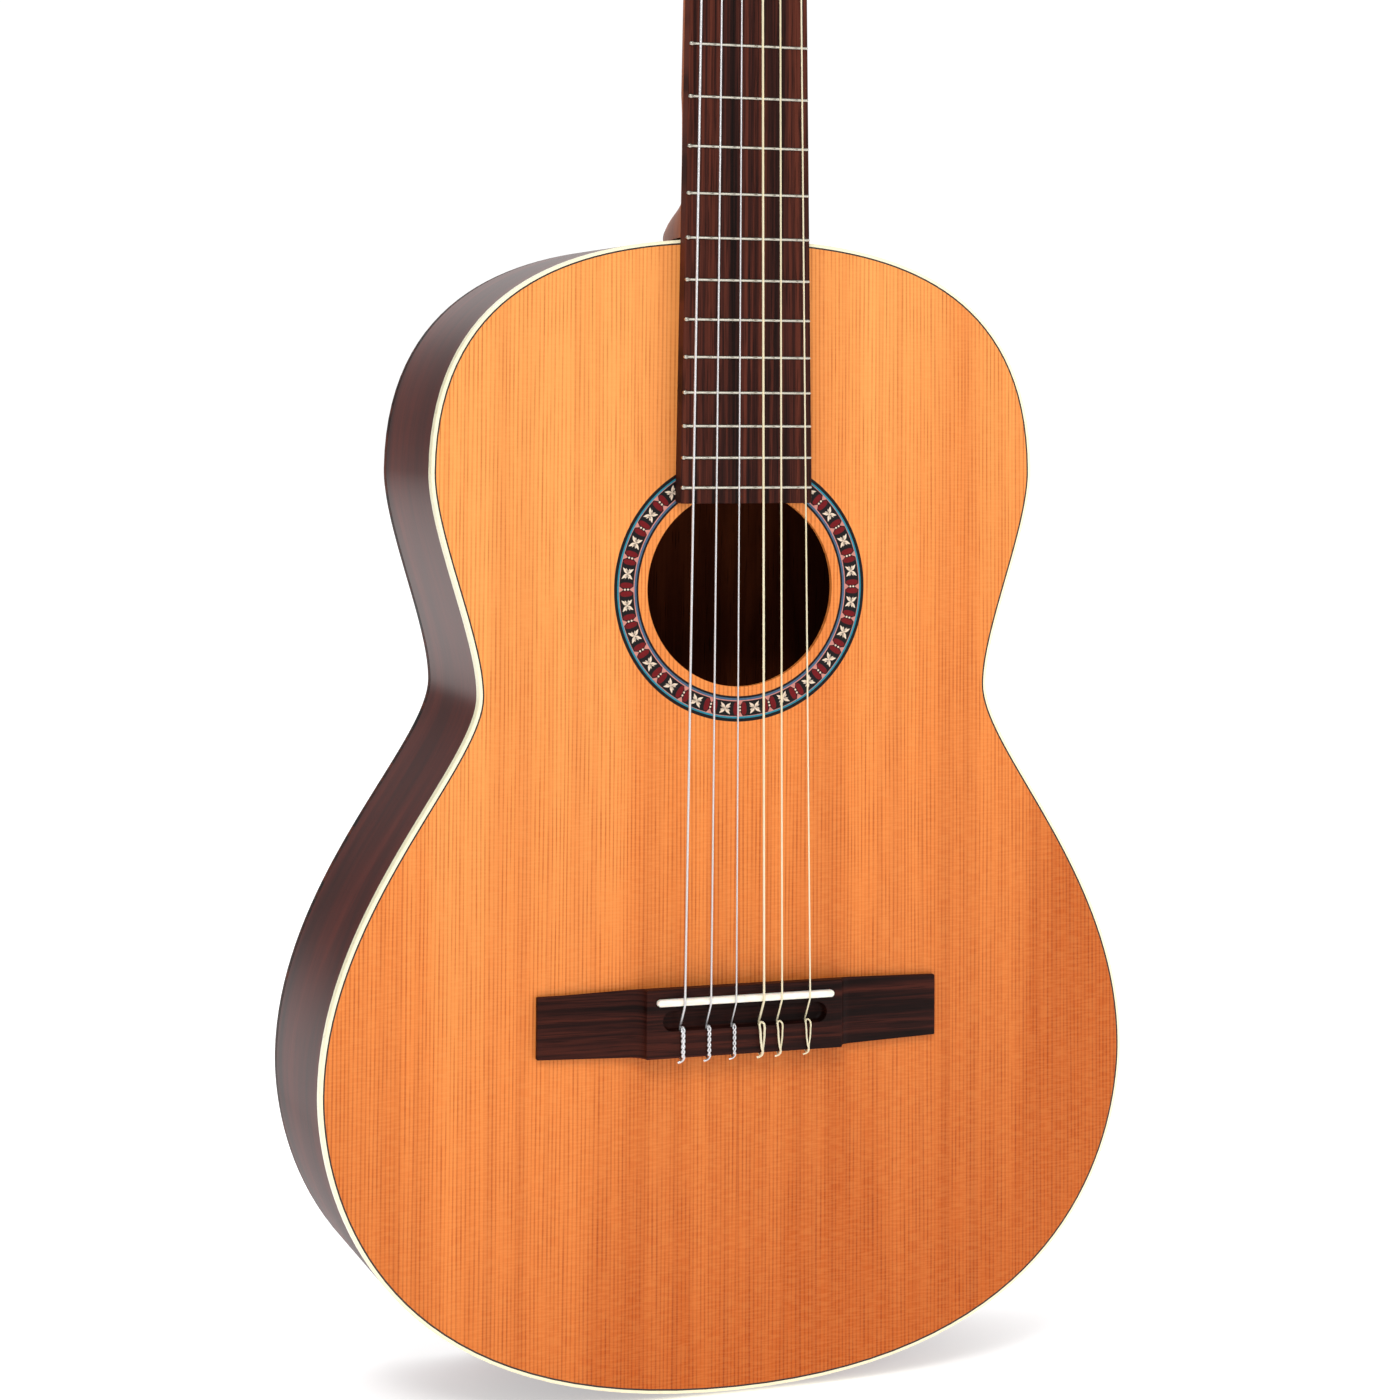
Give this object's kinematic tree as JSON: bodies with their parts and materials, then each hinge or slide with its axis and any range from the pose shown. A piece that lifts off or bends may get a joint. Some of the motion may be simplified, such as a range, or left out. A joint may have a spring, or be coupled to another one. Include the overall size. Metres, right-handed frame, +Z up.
{
  "type": "classical guitar",
  "caption": "Classical guitar with a hollow waisted body, inlaid ring round its soundhole, tied bridge and slotted head with worm tuners.",
  "frame": {"origin": "on the centre line where the soundboard's face meets the front of the nut (the zero of the string scale)", "axes": "+X towards the treble side, -Y out of the soundboard, +Z up the neck towards the head"},
  "size_m": [0.3672, 0.1098, 1.015],
  "materials": {
    "cedar": "satin",
    "spruce": "bare",
    "mahogany": "gloss lacquer",
    "neck_wood": "satin",
    "rosewood": "oiled",
    "binding": "gloss",
    "mosaic": "gloss lacquer",
    "bone": "polished",
    "roller_bone": "polished",
    "nylon": "clear",
    "wound_silver": "wound wire",
    "nickel": "polished",
    "brass": "polished",
    "pearl_plastic": "pearl"
  },
  "bodies": {
    "guitar": {"soundboard": "cedar", "rosette": "mosaic", "binding_top": "binding", "binding_back": "rosewood", "side_treble": "mahogany", "side_bass": "mahogany", "back": "mahogany", "lining_top": "spruce", "lining_back": "spruce", "neck_block": "neck_wood", "tail_block": "neck_wood", "harmonic_bar_upper": "spruce", "harmonic_bar_lower": "spruce", "fan_brace_1": "spruce", "fan_brace_2": "spruce", "fan_brace_3": "spruce", "fan_brace_4": "spruce", "fan_brace_5": "spruce", "back_brace_1": "spruce", "back_brace_2": "spruce", "back_brace_3": "spruce", "neck": "neck_wood", "heel_cap": "rosewood", "head_veneer": "rosewood", "fingerboard": "rosewood", "nut": "bone", "bridge": "rosewood", "saddle": "bone", "string_1": "nylon", "string_2": "nylon", "string_3": "nylon", "string_4": "wound_silver", "string_5": "wound_silver", "string_6": "wound_silver", "tuner_plate_treble": "nickel", "tuner_plate_bass": "nickel"},
    "worm_shaft_1": {"worm_1": "nickel", "button_1": "pearl_plastic"},
    "string_roller_1": {"roller_1": "roller_bone", "gear_1": "brass"},
    "worm_shaft_2": {"worm_2": "nickel", "button_2": "pearl_plastic"},
    "string_roller_2": {"roller_2": "roller_bone", "gear_2": "brass"},
    "worm_shaft_3": {"worm_3": "nickel", "button_3": "pearl_plastic"},
    "string_roller_3": {"roller_3": "roller_bone", "gear_3": "brass"},
    "worm_shaft_4": {"worm_4": "nickel", "button_4": "pearl_plastic"},
    "string_roller_4": {"roller_4": "roller_bone", "gear_4": "brass"},
    "worm_shaft_5": {"worm_5": "nickel", "button_5": "pearl_plastic"},
    "string_roller_5": {"roller_5": "roller_bone", "gear_5": "brass"},
    "worm_shaft_6": {"worm_6": "nickel", "button_6": "pearl_plastic"},
    "string_roller_6": {"roller_6": "roller_bone", "gear_6": "brass"}
  },
  "joints": [
    {"name": "tuner_button_1_turn", "type": "hinge", "parent": "guitar", "child": "worm_shaft_1", "pos_m": [0.0418, 0.02505, 0.06732], "axis": [0, 0.9659, -0.2588], "continuous": true},
    {"name": "roller_1_turn", "type": "hinge", "parent": "guitar", "child": "string_roller_1", "pos_m": [0.0418, 0.02751, 0.07649], "axis": [1, 0, 0], "continuous": true},
    {"name": "tuner_button_2_turn", "type": "hinge", "parent": "guitar", "child": "worm_shaft_2", "pos_m": [0.0418, 0.03411, 0.10112], "axis": [0, 0.9659, -0.2588], "continuous": true},
    {"name": "roller_2_turn", "type": "hinge", "parent": "guitar", "child": "string_roller_2", "pos_m": [0.0418, 0.03657, 0.1103], "axis": [1, 0, 0], "continuous": true},
    {"name": "tuner_button_3_turn", "type": "hinge", "parent": "guitar", "child": "worm_shaft_3", "pos_m": [0.0418, 0.04317, 0.13493], "axis": [0, 0.9659, -0.2588], "continuous": true},
    {"name": "roller_3_turn", "type": "hinge", "parent": "guitar", "child": "string_roller_3", "pos_m": [0.0418, 0.04563, 0.14411], "axis": [1, 0, 0], "continuous": true},
    {"name": "tuner_button_4_turn", "type": "hinge", "parent": "guitar", "child": "worm_shaft_4", "pos_m": [-0.0418, 0.04317, 0.13493], "axis": [0, 0.9659, -0.2588], "continuous": true},
    {"name": "roller_4_turn", "type": "hinge", "parent": "guitar", "child": "string_roller_4", "pos_m": [-0.0418, 0.04563, 0.14411], "axis": [1, 0, 0], "continuous": true},
    {"name": "tuner_button_5_turn", "type": "hinge", "parent": "guitar", "child": "worm_shaft_5", "pos_m": [-0.0418, 0.03411, 0.10112], "axis": [0, 0.9659, -0.2588], "continuous": true},
    {"name": "roller_5_turn", "type": "hinge", "parent": "guitar", "child": "string_roller_5", "pos_m": [-0.0418, 0.03657, 0.1103], "axis": [1, 0, 0], "continuous": true},
    {"name": "tuner_button_6_turn", "type": "hinge", "parent": "guitar", "child": "worm_shaft_6", "pos_m": [-0.0418, 0.02505, 0.06732], "axis": [0, 0.9659, -0.2588], "continuous": true},
    {"name": "roller_6_turn", "type": "hinge", "parent": "guitar", "child": "string_roller_6", "pos_m": [-0.0418, 0.02751, 0.07649], "axis": [1, 0, 0], "continuous": true}
  ],
  "couplings": [
    {"joint": "roller_1_turn", "follows": "tuner_button_1_turn", "ratio": -0.066667},
    {"joint": "roller_2_turn", "follows": "tuner_button_2_turn", "ratio": -0.066667},
    {"joint": "roller_3_turn", "follows": "tuner_button_3_turn", "ratio": -0.066667},
    {"joint": "roller_4_turn", "follows": "tuner_button_4_turn", "ratio": -0.066667},
    {"joint": "roller_5_turn", "follows": "tuner_button_5_turn", "ratio": -0.066667},
    {"joint": "roller_6_turn", "follows": "tuner_button_6_turn", "ratio": -0.066667}
  ]
}
